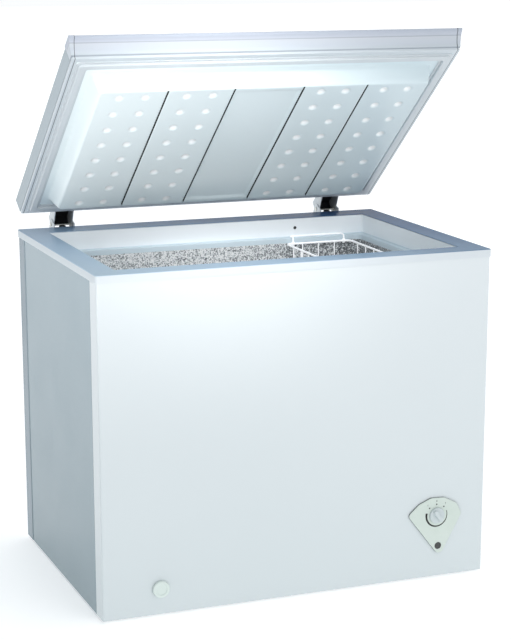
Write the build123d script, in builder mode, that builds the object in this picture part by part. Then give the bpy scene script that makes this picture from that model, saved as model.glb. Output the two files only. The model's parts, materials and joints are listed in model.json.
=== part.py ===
from build123d import *
import os
from math import cos, radians, sin

# Chest freezer with its lid raised. Millimetres, +X to the right seen from the front, +Y to the back,
# +Z up.
# X = 0 is the middle of the cabinet, Z = 0 the floor, Y = 0 the middle of the whole depth from the
# control knob's face to the back of the raised hinge brackets.

# ---- Driving dimensions: cabinet ----
cabinet_width = 945.0
cabinet_depth = 660.0
rim_height = 788.0
panel_bottom = 8.0
sheet = 0.8
corner_radius = 4.0
corner_return = 50.0
side_inset = 0.8
panel_gap = 1.2

# How far the knob stands out in front of the front panel, and the raised lid behind the rear panel.
front_reach = 18.0
rear_reach = 59.886

half_width = cabinet_width / 2
front_y = -(cabinet_depth + rear_reach - front_reach) / 2
rear_y = front_y + cabinet_depth

# ---- Top frame, collar and liner ----
frame_plate = 3.0
skirt_height = 18.0
skirt_thickness = 2.2
rim_side = 56.0
rim_front = 53.0
rim_rear = 72.0
ledge_depth = 16.0
ledge_z = 740.0
nose_z = 727.0
ledge_round = 2.2
collar_wall = 2.5
liner_floor = 92.0
panel_top = rim_height - frame_plate

mouth_x = half_width - rim_side
mouth_front = front_y + rim_front
mouth_rear = rear_y - rim_rear
tank_x = mouth_x - ledge_depth
tank_front = mouth_front + ledge_depth
tank_rear = mouth_rear - ledge_depth
tank_radius = 18.0

# ---- Compressor compartment ----
compartment_left = 236.0
compartment_roof = 258.0
hump_wall = 46.0
hump_left = compartment_left - hump_wall
hump_roof = compartment_roof + hump_wall

# ---- Lid, stated in its closed place ----
open_angle = 39.5
pivot_y = rear_y + 30.0
pivot_z = rim_height + 2.5
lid_bottom = rim_height + 8.0
lid_thickness = 43.0
lid_top = lid_bottom + lid_thickness
lid_rear = rear_y - 20.0
lid_front = lid_rear - 636.0
lid_half_bottom = 466.8
lid_half_top = 472.4
lid_frame_height = 7.0
plateau_depth = 44.0
plateau_half = 397.0
plateau_front = lid_rear - 570.0
plateau_rear = lid_rear - 86.0
slope_half = 413.0
slope_front = mouth_front + 3.0
slope_rear = mouth_rear - 3.0
gasket_outer = 454.0
gasket_width = 26.0

# ---- Hinges ----
hinge_x = 356.0
ear_half = 24.0
ear_sheet = 2.0
channel_half = 26.5
channel_bottom = 648.0
bracket_rise = 30.0
rivet_radius = 3.0
running_gap = 0.05
follower_arm = 9.5
follower_radius = 1.75
follower_gap = 1.2

# ---- Controls and drain ----
knob_x = 347.5
knob_z = 160.0
knob_radius = 19.0
lamp_offset = (5.0, -76.0)
lamp_radius = 8.5
bezel_boss_radius = 27.0
lamp_x = knob_x + lamp_offset[0]
lamp_z = knob_z + lamp_offset[1]
drain_x = -337.5
drain_z = 68.0
drain_cap_radius = 19.5
drain_bore = 8.0
drain_socket_radius = 15.3
drain_socket_bore = 13.0
drain_socket_depth = 22.0
drain_flange_radius = 18.0

# ---- Basket ----
basket_left = 194.0
basket_right = 370.0
basket_front = tank_front + 10.0
basket_rear = tank_rear - 10.0
basket_top = 726.5
basket_height = 205.0
rim_wire = 2.5
mesh_wire = 1.5
bail_wire = 2.0

os.makedirs("parts", exist_ok=True)


def save(builder, name):
    builder.part.label = name
    export_step(builder.part, f"parts/{name}.step")


def block(low, high, mode=Mode.ADD):
    """A box between two corners, in the part that is being built."""
    size = [b - a for a, b in zip(low, high)]
    middle = [(a + b) / 2 for a, b in zip(low, high)]
    with Locations(tuple(middle)):
        Box(*size, mode=mode)


def rod(start, end, radius, mode=Mode.ADD):
    """A round bar between two points, in the part that is being built."""
    along = Vector(*end) - Vector(*start)
    with BuildSketch(Plane(origin=start, z_dir=along)) as section:
        Circle(radius)
    extrude(section.sketch, amount=along.length, mode=mode)


def pipe(points, bend, radius, bore=0.0, mode=Mode.ADD):
    """A tube through the points with rounded bends, in the part that is being built."""
    with BuildLine() as route:
        FilletPolyline(*points, radius=bend)
    with BuildSketch(Plane(origin=route.line @ 0, z_dir=route.line % 0)) as section:
        Circle(radius)
        if bore:
            Circle(bore, mode=Mode.SUBTRACT)
    sweep(section.sketch, path=route.line, mode=mode)


# The closed lid is turned about the hinge line to its raised rest place.
lid_turn = Pos(0, pivot_y, pivot_z) * Rot(-open_angle, 0, 0) * Pos(0, -pivot_y, -pivot_z)


def on_lid(plane):
    """The plane's place on the raised lid, for a plane given as on the closed lid."""
    return Plane(lid_turn * plane.location)


lid_up = Axis((0, 0, 0), (0, sin(radians(open_angle)), cos(radians(open_angle))))


# ======== Cabinet shell ========


def folded_outline(end):
    """Adds the plan of a sheet folded round both corners of one end, to the sketch that is being made."""
    face_y = front_y if end < 0 else rear_y
    return_y = face_y - end * corner_return
    with BuildLine() as fold:
        FilletPolyline(
            (end * half_width, return_y),
            (end * half_width, face_y),
            (-end * half_width, face_y),
            (-end * half_width, return_y),
            radius=corner_radius,
        )
        offset(amount=sheet, side=Side.LEFT)
    make_face(fold.edges())


# Front panel, folded round both front corners and under the base.
with BuildPart() as front_panel:
    with BuildSketch(Plane.XY.offset(panel_bottom)):
        folded_outline(-1)
    extrude(amount=panel_top - panel_bottom)
    block(
        (-half_width + corner_radius, front_y + sheet / 2, panel_bottom),
        (half_width - corner_radius, front_y + 16, panel_bottom + sheet),
    )
    with Locations(Plane(origin=(knob_x, front_y, knob_z), z_dir=(0, -1, 0))):
        Hole(bezel_boss_radius + 1)
    with Locations(Plane(origin=(lamp_x, front_y, lamp_z), z_dir=(0, -1, 0))):
        Hole(lamp_radius + 0.5)
    with Locations(Plane(origin=(drain_x, front_y, drain_z), z_dir=(0, -1, 0))):
        Hole(drain_socket_radius + 0.2)
save(front_panel, "front_panel")

# Rear panel, folded round both rear corners, with the opening of the compressor compartment.
grille_left = compartment_left + 14
grille_right = half_width - 24
grille_bottom = 26.0
grille_top = 236.0
with BuildPart() as rear_panel:
    with BuildSketch(Plane.XY.offset(panel_bottom)):
        folded_outline(1)
    extrude(amount=panel_top - panel_bottom)
    block(
        (-half_width + corner_radius, rear_y - 16, panel_bottom),
        (half_width - corner_radius, rear_y - sheet / 2, panel_bottom + sheet),
    )
    block(
        (grille_left + 8, rear_y - 5, grille_bottom + 8),
        (grille_right - 8, rear_y + 5, grille_top - 8),
        mode=Mode.SUBTRACT,
    )
save(rear_panel, "rear_panel")


def side_panel(side):
    """One flat side panel, set in by a sheet's thickness, with a bead folded along both upright edges."""
    outer = side * (half_width - side_inset)
    inner = side * (half_width - side_inset - sheet)
    low_y = front_y + corner_return + panel_gap
    high_y = rear_y - corner_return - panel_gap
    with BuildPart() as panel:
        block(
            (min(outer, inner), low_y, panel_bottom),
            (max(outer, inner), high_y, panel_top),
        )
        for edge_y in (low_y, high_y - 3):
            block(
                (min(side * half_width, inner), edge_y, panel_bottom),
                (max(side * half_width, inner), edge_y + 3, panel_top),
            )
        flange = side * (half_width - 16)
        block(
            (min(flange, inner), low_y, panel_bottom),
            (max(flange, inner), high_y, panel_bottom + sheet),
        )
    return panel


left_side_panel = side_panel(-1)
save(left_side_panel, "left_side_panel")
right_side_panel = side_panel(1)
save(right_side_panel, "right_side_panel")

# ======== Base, tray and feet ========
foot_x = 415.0
foot_front = front_y + 60
foot_rear = rear_y - 60
foot_places = [(x, y) for x in (-foot_x, foot_x) for y in (foot_front, foot_rear)]
base_z = panel_bottom + sheet
foot_radius = 19.0
spigot_radius = 6.0
tray_sheet = 2.0

with BuildPart() as base_panel:
    block(
        (-half_width + 2, front_y + 2, base_z),
        (compartment_left, rear_y - 2, base_z + sheet),
    )
    for x, y in foot_places[:2]:
        rod((x, y, base_z - 1), (x, y, base_z + 3), spigot_radius + 0.2, mode=Mode.SUBTRACT)
save(base_panel, "base_panel")

# Steel tray across the bottom of the compressor compartment, with pressed ribs and a folded inner edge.
with BuildPart() as compressor_tray:
    block(
        (compartment_left + sheet, front_y + 2, base_z),
        (half_width - 2, rear_y - 2, base_z + tray_sheet),
    )
    for rib_x in (310, 400):
        block(
            (rib_x - 6, front_y + 200, base_z + tray_sheet),
            (rib_x + 6, rear_y - 90, base_z + tray_sheet + 3),
        )
    for x, y in foot_places[2:]:
        rod((x, y, base_z - 1), (x, y, base_z + 7), spigot_radius + 0.2, mode=Mode.SUBTRACT)
save(compressor_tray, "compressor_tray")

# Four moulded feet, each with a spigot pushed up through the base.
with BuildPart() as feet:
    for x, y in foot_places:
        with BuildSketch(Plane.XY.offset(base_z) * Pos(x, y)):
            Circle(foot_radius)
        extrude(amount=-base_z, taper=18)
        with BuildSketch(Plane.XY.offset(base_z) * Pos(x, y)):
            Circle(spigot_radius)
        extrude(amount=5)
    fillet(feet.edges().filter_by(GeomType.CIRCLE).group_by(Axis.Z)[0], 1.2)
save(feet, "feet")

# ======== Top frame, collar and liner ========
with BuildPart() as top_frame:
    with BuildSketch(Plane.XY.offset(rim_height)):
        with Locations((0, (front_y + rear_y) / 2)):
            RectangleRounded(
                cabinet_width + 2 * skirt_thickness,
                cabinet_depth + 2 * skirt_thickness,
                corner_radius + skirt_thickness,
            )
    extrude(amount=-skirt_height)
    with BuildSketch(Plane.XY.offset(panel_top)):
        with Locations((0, (front_y + rear_y) / 2)):
            RectangleRounded(cabinet_width, cabinet_depth, corner_radius)
    extrude(amount=-skirt_height, mode=Mode.SUBTRACT)
    with BuildSketch(Plane.XY.offset(rim_height)):
        with Locations((0, (mouth_front + mouth_rear) / 2)):
            Rectangle(2 * mouth_x, mouth_rear - mouth_front)
    extrude(amount=-frame_plate, mode=Mode.SUBTRACT)
    fillet(top_frame.faces().sort_by(Axis.Z)[-1].outer_wire().edges(), 1.8)
save(top_frame, "top_frame")


def ring(x_half, y_low, y_high, z_low, z_high, radius=0.0, mode=Mode.ADD):
    """An upright block with rounded upright corners, in the part that is being built."""
    with BuildSketch(Plane.XY.offset(z_low)) as section:
        with Locations((0, (y_low + y_high) / 2)):
            if radius:
                RectangleRounded(2 * x_half, y_high - y_low, radius)
            else:
                Rectangle(2 * x_half, y_high - y_low)
    extrude(section.sketch, amount=z_high - z_low, mode=mode)


# Moulded collar: the white band inside the mouth, the ledge that the basket hangs on, and its rounded nose.
plug_x = 227.5
plug_z = 763.0
plug_radius = 3.0
collar_radius = 6.0
with BuildPart() as liner_collar:
    ring(
        mouth_x + collar_wall,
        mouth_front - collar_wall,
        mouth_rear + collar_wall,
        ledge_z - collar_wall,
        panel_top,
        collar_radius + collar_wall,
    )
    ring(
        tank_x + collar_wall,
        tank_front - collar_wall,
        tank_rear + collar_wall,
        nose_z,
        ledge_z - collar_wall,
        tank_radius + collar_wall,
    )
    ring(mouth_x, mouth_front, mouth_rear, ledge_z, panel_top, collar_radius, Mode.SUBTRACT)
    ring(tank_x, tank_front, tank_rear, nose_z, ledge_z, tank_radius, Mode.SUBTRACT)
    ledge_edges = [
        e
        for e in liner_collar.edges().filter_by(Plane.XY)
        if abs(e.center().Z - ledge_z) < 0.1
        and abs(e.center().X) <= tank_x + 0.1
        and tank_front - 0.1 <= e.center().Y <= tank_rear + 0.1
    ]
    fillet(ledge_edges, ledge_round)
    with Locations(Plane(origin=(plug_x, mouth_rear, plug_z), z_dir=(0, -1, 0))):
        Hole(plug_radius + 0.1)
save(liner_collar, "liner_collar")

with BuildPart() as collar_plug:
    rod((plug_x, mouth_rear - 1.2, plug_z), (plug_x, mouth_rear, plug_z), 4)
    rod((plug_x, mouth_rear, plug_z), (plug_x, mouth_rear + 8, plug_z), plug_radius)
    fillet(collar_plug.edges().filter_by(GeomType.CIRCLE).group_by(Axis.Y)[0], 0.8)
save(collar_plug, "collar_plug")

# Sheet aluminium tank with a step over the compressor compartment and a drain hole in the floor.
floor_drain_y = tank_front + 60
with BuildPart() as inner_liner:
    ring(
        tank_x + sheet,
        tank_front - sheet,
        tank_rear + sheet,
        liner_floor - sheet,
        nose_z,
        tank_radius + sheet,
    )
    block(
        (hump_left + sheet, tank_front - 5, liner_floor - 5),
        (tank_x + 5, tank_rear + 5, hump_roof - sheet),
        mode=Mode.SUBTRACT,
    )
    ring(tank_x, tank_front, tank_rear, hump_roof, nose_z, tank_radius, Mode.SUBTRACT)
    with BuildSketch(Plane.XY.offset(liner_floor)) as floor_outline:
        with Locations(((hump_left - tank_x) / 2, (tank_front + tank_rear) / 2)):
            Rectangle(hump_left + tank_x, tank_rear - tank_front)
        fillet(floor_outline.vertices().group_by(Axis.X)[0], tank_radius)
    extrude(amount=hump_roof - liner_floor, mode=Mode.SUBTRACT)
    rod(
        (drain_x, floor_drain_y, liner_floor - 2),
        (drain_x, floor_drain_y, liner_floor + 1),
        drain_bore + 2,
        mode=Mode.SUBTRACT,
    )
save(inner_liner, "inner_liner")

# ======== Refrigerant tubes in the foam ========
evaporator_radius = 4.0
evaporator_turns = 6
evaporator_pitch = 62.0
evaporator_gap = 0.2
coil_x = tank_x + sheet + evaporator_radius + evaporator_gap
coil_front = tank_front - sheet - evaporator_radius - evaporator_gap
coil_rear = tank_rear + sheet + evaporator_radius + evaporator_gap


def evaporator_route():
    """Turns round the tank, from just above the step to just below the collar."""
    z = hump_roof + 30
    route = [(hump_left + 60, coil_rear, z)]
    for _ in range(evaporator_turns):
        top = z + evaporator_pitch
        route += [
            (-coil_x, coil_rear, z),
            (-coil_x, coil_front, z),
            (coil_x, coil_front, z),
            (coil_x, coil_rear, z),
            (hump_left + 40, coil_rear, top),
        ]
        z = top
    return route[:-1]


drier_x = 440.0
drier_y = rear_y - 50
drier_bottom = 62.0
drier_top = 148.0
condenser_radius = 2.4
condenser_runs = 6
condenser_pitch = 76.0
condenser_x = half_width - side_inset - sheet - condenser_radius - 0.2
condenser_front = front_y + sheet + condenser_radius + 0.2


def condenser_route():
    """A serpentine behind the right side, front and left side panels."""
    route = [(condenser_x, rear_y - 80, compartment_roof - 60)]
    z = compartment_roof + 40
    route.append((condenser_x, rear_y - 80, z))
    for run in range(condenser_runs):
        side = 1 if run % 2 == 0 else -1
        route += [
            (side * condenser_x, condenser_front, z),
            (-side * condenser_x, condenser_front, z),
            (-side * condenser_x, rear_y - 80, z),
        ]
        if run < condenser_runs - 1:
            z += condenser_pitch
            route.append((-side * condenser_x, rear_y - 80, z))
    route[-1] = (condenser_x, rear_y - 50, z)
    route += [
        (condenser_x, rear_y - 50, drier_top + 40),
        (drier_x, drier_y, drier_top + 26),
        (drier_x, drier_y, drier_top + 0.1),
    ]
    return route


with BuildPart() as evaporator_tube:
    pipe(evaporator_route(), 16, evaporator_radius, evaporator_radius - 0.7)
save(evaporator_tube, "evaporator_tube")

with BuildPart() as condenser_tube:
    pipe(condenser_route(), 12, condenser_radius, condenser_radius - 0.7)
save(condenser_tube, "condenser_tube")

# ======== Drain ========
tube_radius = drain_bore + 1.6
drain_tube_y = front_y + 26
with BuildPart() as drain_tube:
    pipe(
        [
            (drain_x, floor_drain_y, liner_floor - sheet - 0.2),
            (drain_x, floor_drain_y, drain_z),
            (drain_x, drain_tube_y, drain_z),
        ],
        12,
        tube_radius,
        drain_bore,
    )
save(drain_tube, "drain_tube")

# Spigot of the front drain: a flange on the panel's face, a socket for the cap and a tail for the tube.
with BuildPart() as drain_outlet:
    with BuildSketch(Plane(origin=(drain_x, front_y, drain_z), z_dir=(0, 1, 0))):
        Circle(drain_socket_radius)
        Circle(drain_socket_bore, mode=Mode.SUBTRACT)
    extrude(amount=drain_socket_depth)
    with BuildSketch(Plane(origin=(drain_x, front_y, drain_z), z_dir=(0, -1, 0))):
        Circle(drain_flange_radius)
        Circle(drain_socket_bore, mode=Mode.SUBTRACT)
    extrude(amount=1.2)
    tail = (drain_x, front_y + drain_socket_depth, drain_z)
    with BuildSketch(Plane(origin=tail, z_dir=(0, 1, 0))):
        Circle(drain_socket_radius)
        Circle(drain_bore, mode=Mode.SUBTRACT)
    extrude(amount=4)
save(drain_outlet, "drain_outlet")

# Pull-out cap of the front drain, with a dished face.
cap_gap = 1.3
cap_height = 6.5
cap_dish_radius = 13.5
cap_stem_radius = drain_socket_bore - 0.3
with BuildPart() as drain_cap:
    with BuildSketch(Plane(origin=(drain_x, front_y - cap_gap, drain_z), z_dir=(0, -1, 0))):
        Circle(drain_cap_radius)
    extrude(amount=cap_height)
    fillet(drain_cap.edges().filter_by(GeomType.CIRCLE).group_by(Axis.Y)[0], 2.4)
    cap_face = (drain_x, front_y - cap_gap - cap_height, drain_z)
    with BuildSketch(Plane(origin=cap_face, z_dir=(0, 1, 0))):
        Circle(cap_dish_radius)
    extrude(amount=1.2, taper=30, mode=Mode.SUBTRACT)
    with BuildSketch(Plane(origin=(drain_x, front_y - cap_gap, drain_z), z_dir=(0, 1, 0))):
        Circle(cap_stem_radius)
        Circle(cap_stem_radius - 2, mode=Mode.SUBTRACT)
    extrude(amount=16)
save(drain_cap, "drain_cap")

# Rubber plug that closes the drain in the tank's floor.
plug_head_radius = 17.0
plug_head_height = 4.0
plug_grip = (20.0, 5.0, 9.0)
with BuildPart() as floor_drain_plug:
    with BuildSketch(Plane.XY.offset(liner_floor + 0.3) * Pos(drain_x, floor_drain_y)):
        Circle(plug_head_radius)
    extrude(amount=plug_head_height)
    fillet(floor_drain_plug.edges().group_by(Axis.Z)[-1], 1.5)
    with BuildSketch(Plane.XY.offset(liner_floor + 0.3) * Pos(drain_x, floor_drain_y)):
        Circle(drain_bore - 0.4)
    extrude(amount=-14, taper=2)
    with BuildSketch(Plane.XY.offset(liner_floor + plug_head_height) * Pos(drain_x, floor_drain_y)):
        SlotOverall(plug_grip[0], plug_grip[1])
    extrude(amount=plug_grip[2])
save(floor_drain_plug, "floor_drain_plug")

# ======== Compressor and its fittings ========
compressor_x = 355.0
compressor_y = front_y + 480
compressor_radius = 74.0
compressor_bottom = 29.0
tray_top = base_z + tray_sheet
shell_height = 164.0
shell_round_top = 46.0
shell_round_bottom = 24.0
seam_z = 102.0
suction_z = 126.0
discharge_z = 84.0
suction_radius = 4.0
discharge_radius = 2.6
bolt_spread = (78.0, 58.0)
bolt_radius = 4.0
mount_plate = 3.0
bolt_places = [
    (compressor_x + across * bolt_spread[0], compressor_y + along * bolt_spread[1])
    for across in (-1, 1)
    for along in (-1, 1)
]
stub_length = 12.0
stub_y = compressor_y + compressor_radius + stub_length
suction_x = compressor_x - 20
discharge_x = compressor_x + 20

with BuildPart() as compressor:
    with BuildSketch(Plane.XY.offset(compressor_bottom) * Pos(compressor_x, compressor_y)):
        Circle(compressor_radius)
    extrude(amount=shell_height)
    fillet(compressor.edges().filter_by(GeomType.CIRCLE).sort_by(Axis.Z)[-1], shell_round_top)
    fillet(compressor.edges().filter_by(GeomType.CIRCLE).sort_by(Axis.Z)[0], shell_round_bottom)
    with BuildSketch(Plane.XY.offset(seam_z) * Pos(compressor_x, compressor_y)):
        Circle(compressor_radius + 3.5)
    extrude(amount=5)
    stubs = (
        (suction_x, suction_z, suction_radius + 1),
        (discharge_x, discharge_z, discharge_radius + 1.4),
    )
    for stub_x, stub_z, stub_radius in stubs:
        rod((stub_x, compressor_y + 60, stub_z), (stub_x, stub_y, stub_z), stub_radius)
save(compressor, "compressor")

with BuildPart() as compressor_bracket:
    with BuildSketch(Plane.XY.offset(compressor_bottom) * Pos(compressor_x, compressor_y)):
        RectangleRounded(2 * bolt_spread[0] + 28, 2 * bolt_spread[1] + 28, 14)
        with GridLocations(2 * bolt_spread[0], 2 * bolt_spread[1], 2, 2):
            Circle(bolt_radius + 2, mode=Mode.SUBTRACT)
    extrude(amount=-mount_plate)
save(compressor_bracket, "compressor_bracket")

with BuildPart() as compressor_grommets:
    for x, y in bolt_places:
        with BuildSketch(Plane.XY.offset(tray_top) * Pos(x, y)):
            Circle(11)
            Circle(bolt_radius + 0.1, mode=Mode.SUBTRACT)
        extrude(amount=compressor_bottom - mount_plate - tray_top)
save(compressor_grommets, "compressor_grommets")

with BuildPart() as compressor_bolts:
    for x, y in bolt_places:
        rod((x, y, tray_top), (x, y, compressor_bottom + 3), bolt_radius)
        with BuildSketch(Plane.XY.offset(compressor_bottom + 0.2) * Pos(x, y)):
            RegularPolygon(7, 6)
        extrude(amount=5)
save(compressor_bolts, "compressor_bolts")

relay_front = compressor_y - compressor_radius - 36
relay_z = 110.0
relay_half_width = 27.0
relay_half_height = 36.0
with BuildPart() as relay_cover:
    block(
        (compressor_x - relay_half_width, relay_front, relay_z - relay_half_height),
        (compressor_x + relay_half_width, relay_front + 32, relay_z + relay_half_height),
    )
    fillet(relay_cover.edges().filter_by(Axis.Y), 5)
save(relay_cover, "relay_cover")

riser_y = rear_y - 45
evaporator_start_x = hump_left + 60
first_coil_z = hump_roof + 30
last_coil_z = first_coil_z + (evaporator_turns - 1) * evaporator_pitch


def suction_route():
    return [
        (suction_x, stub_y, suction_z),
        (suction_x, riser_y, suction_z),
        (suction_x, riser_y, first_coil_z),
        (evaporator_start_x + 42, coil_rear, first_coil_z),
        (evaporator_start_x + 0.1, coil_rear, first_coil_z),
    ]


condenser_start_y = rear_y - 80


def discharge_route():
    return [
        (discharge_x, stub_y, discharge_z),
        (discharge_x, rear_y - 66, discharge_z),
        (condenser_x - 14, rear_y - 66, discharge_z),
        (condenser_x, condenser_start_y, 132),
        (condenser_x, condenser_start_y, compartment_roof - 60.1),
    ]


def capillary_route():
    return [
        (drier_x, drier_y, drier_bottom - 0.1),
        (drier_x, drier_y, drier_bottom - 20),
        (coil_x, rear_y - 28, drier_bottom - 20),
        (coil_x, rear_y - 28, last_coil_z),
        (coil_x, coil_rear + 0.1, last_coil_z),
    ]


tube_wall = 0.8
tube_bend = 12.0
capillary_radius = 1.1
capillary_bend = 9.0
drier_radius = 9.5
drier_neck = 8.0

with BuildPart() as suction_tube:
    pipe(suction_route(), tube_bend, suction_radius, suction_radius - tube_wall)
save(suction_tube, "suction_tube")

with BuildPart() as discharge_tube:
    pipe(discharge_route(), 10, discharge_radius, discharge_radius - tube_wall)
save(discharge_tube, "discharge_tube")

with BuildPart() as filter_drier:
    body_low = drier_bottom + drier_neck
    body_high = drier_top - drier_neck
    rod((drier_x, drier_y, body_low), (drier_x, drier_y, body_high), drier_radius)
    for low, high in ((drier_bottom, body_low), (body_high, drier_top)):
        rod((drier_x, drier_y, low), (drier_x, drier_y, high), 4)
    fillet(filter_drier.edges().filter_by(GeomType.CIRCLE).sort_by(SortBy.RADIUS)[-2:], 4)
save(filter_drier, "filter_drier")

with BuildPart() as capillary_tube:
    pipe(capillary_route(), capillary_bend, capillary_radius)
save(capillary_tube, "capillary_tube")

# ======== Control panel ========
bezel_thickness = 4.5
crown_radius = 80.0
crown_centre = (-1.0, -36.0)
lobe_radius = 20.0
bezel_lobes = [(-61, 4, 10), (52, -2, 12), (8, -82, 12)]
for lobe_angle in (50, 75, 100, 125):
    reach = crown_radius - lobe_radius
    lobe_x = crown_centre[0] + reach * cos(radians(lobe_angle))
    lobe_z = crown_centre[1] + reach * sin(radians(lobe_angle))
    bezel_lobes.append((lobe_x, lobe_z, lobe_radius))
knob_skirt = 5.0
knob_gap = 0.6
grip_width = 9.0
grip_turn = 125.0
grip_height = front_reach - bezel_thickness - knob_gap - knob_skirt
bezel_face = front_y - bezel_thickness
thermostat_front = front_y + 4
thermostat_back = front_y + 40
thermostat_half = (24.0, 17.0)
shaft_radius = 3.0
shaft_hole = 3.6
shaft_reach = 13.0
shaft_flat = 2.0

with BuildPart() as control_bezel:
    with BuildSketch(Plane(origin=(knob_x, front_y, knob_z), x_dir=(1, 0, 0), z_dir=(0, -1, 0))):
        with BuildLine():
            for x, z, radius in bezel_lobes:
                CenterArc((x, z), radius, 0, 360)
        make_hull()
        Circle(shaft_hole, mode=Mode.SUBTRACT)
        with Locations(lamp_offset):
            Circle(lamp_radius + 0.2, mode=Mode.SUBTRACT)
    extrude(amount=bezel_thickness)
    fillet(control_bezel.faces().sort_by(Axis.Y)[0].outer_wire().edges(), 1.2)
    with BuildSketch(Plane(origin=(knob_x, front_y, knob_z), x_dir=(1, 0, 0), z_dir=(0, 1, 0))):
        Circle(bezel_boss_radius)
        Circle(shaft_hole, mode=Mode.SUBTRACT)
    extrude(amount=thermostat_front - front_y - 0.2)
save(control_bezel, "control_bezel")

with BuildPart() as thermostat:
    block(
        (knob_x - thermostat_half[0], thermostat_front, knob_z - thermostat_half[1]),
        (knob_x + thermostat_half[0], thermostat_back, knob_z + thermostat_half[1]),
    )
    fillet(thermostat.edges().filter_by(Axis.Y), 3)
save(thermostat, "thermostat")

with BuildPart() as thermostat_shaft:
    shaft_end = (knob_x, front_y - shaft_reach, knob_z)
    rod((knob_x, thermostat_front - 0.1, knob_z), shaft_end, shaft_radius)
    block(
        (knob_x - 4, front_y - shaft_reach - 1, knob_z + shaft_flat),
        (knob_x + 4, front_y - bezel_thickness - 0.5, knob_z + shaft_flat + 2),
        mode=Mode.SUBTRACT,
    )
save(thermostat_shaft, "thermostat_shaft")

with BuildPart() as control_knob:
    with BuildSketch(Plane(origin=(knob_x, bezel_face - knob_gap, knob_z), z_dir=(0, -1, 0))):
        Circle(knob_radius)
    extrude(amount=knob_skirt)
    fillet(control_knob.edges().filter_by(GeomType.CIRCLE).group_by(Axis.Y)[0], 1.5)
    grip_base = (knob_x, bezel_face - knob_gap - knob_skirt, knob_z)
    with BuildSketch(Plane(origin=grip_base, x_dir=(1, 0, 0), z_dir=(0, -1, 0))):
        SlotOverall(2 * knob_radius - 5, grip_width, rotation=grip_turn)
    extrude(amount=grip_height)
    fillet(control_knob.faces().sort_by(Axis.Y)[0].outer_wire().edges(), 1.6)
    rod(
        (knob_x, bezel_face, knob_z),
        (knob_x, front_y - shaft_reach - 0.2, knob_z),
        shaft_radius + running_gap,
        mode=Mode.SUBTRACT,
    )
save(control_knob, "control_knob")

with BuildPart() as power_lamp:
    rod((lamp_x, bezel_face - 1.0, lamp_z), (lamp_x, front_y + 14, lamp_z), lamp_radius)
    fillet(power_lamp.edges().filter_by(GeomType.CIRCLE).group_by(Axis.Y)[0], 1.3)
save(power_lamp, "power_lamp")


def sensor_route():
    sensor_z = first_coil_z + evaporator_pitch / 2
    return [
        (knob_x + 12, front_y + 22, knob_z + 17.1),
        (knob_x + 12, front_y + 22, sensor_z),
        (knob_x - 30, tank_front - 6, sensor_z),
        (hump_left + 10, tank_front - 6, sensor_z),
    ]


sensor_radius = 1.4
sensor_bend = 10.0
with BuildPart() as thermostat_sensor:
    pipe(sensor_route(), sensor_bend, sensor_radius)
save(thermostat_sensor, "thermostat_sensor")

with BuildPart() as wiring_harness:
    pipe(
        [
            (compressor_x, relay_front - 0.1, relay_z),
            (compressor_x, relay_front - 60, relay_z),
            (compressor_x, front_y + 150, 60),
            (knob_x, front_y + 90, knob_z),
            (knob_x, thermostat_back + 0.1, knob_z),
        ],
        30,
        4,
    )
save(wiring_harness, "wiring_harness")


def pass_tubes(gap):
    """Cuts the ways of the four tubes that leave the compartment out of the part that is being built."""
    pipe(suction_route(), tube_bend, suction_radius + gap, mode=Mode.SUBTRACT)
    pipe(condenser_route(), tube_bend, condenser_radius + gap, mode=Mode.SUBTRACT)
    pipe(capillary_route(), capillary_bend, capillary_radius + gap, mode=Mode.SUBTRACT)
    pipe(sensor_route(), sensor_bend, sensor_radius + gap, mode=Mode.SUBTRACT)


# Galvanised sheet that walls the compressor compartment off from the foam.
with BuildPart() as compartment_shroud:
    block(
        (compartment_left, front_y + 2, base_z + 2.2),
        (compartment_left + sheet, rear_y - 2, compartment_roof),
    )
    block(
        (compartment_left + sheet, front_y + 2, compartment_roof - sheet),
        (half_width - 2.4, rear_y - 2, compartment_roof),
    )
    pass_tubes(0.5)
save(compartment_shroud, "compartment_shroud")

# ======== Cabinet foam ========
with BuildPart() as cabinet_foam:
    block(
        (-half_width + 1.6, front_y + sheet, base_z + sheet),
        (half_width - 1.6, rear_y - sheet, panel_top),
    )
    fillet(cabinet_foam.edges().filter_by(Axis.Z), corner_radius)
    block(
        (compartment_left, front_y, base_z - 1),
        (half_width, rear_y, compartment_roof),
        mode=Mode.SUBTRACT,
    )
    ring(
        mouth_x + collar_wall,
        mouth_front - collar_wall,
        mouth_rear + collar_wall,
        ledge_z - collar_wall,
        panel_top,
        mode=Mode.SUBTRACT,
    )
    ring(
        tank_x + collar_wall,
        tank_front - collar_wall,
        tank_rear + collar_wall,
        hump_roof - sheet,
        ledge_z,
        mode=Mode.SUBTRACT,
    )
    block(
        (-tank_x - sheet, tank_front - sheet, liner_floor - sheet),
        (hump_left + sheet, tank_rear + sheet, hump_roof),
        mode=Mode.SUBTRACT,
    )
    pipe(evaporator_route(), 16, evaporator_radius + 0.1, mode=Mode.SUBTRACT)
    pass_tubes(0.1)
    block(
        (drain_x - 17, front_y, drain_z - 17),
        (drain_x + 17, floor_drain_y + 17, liner_floor),
        mode=Mode.SUBTRACT,
    )
    for x, y in foot_places[:2]:
        rod((x, y, base_z), (x, y, base_z + 8), 9, mode=Mode.SUBTRACT)
    rod((plug_x, mouth_rear, plug_z), (plug_x, mouth_rear + 10, plug_z), 3.5, mode=Mode.SUBTRACT)
save(cabinet_foam, "cabinet_foam")

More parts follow.
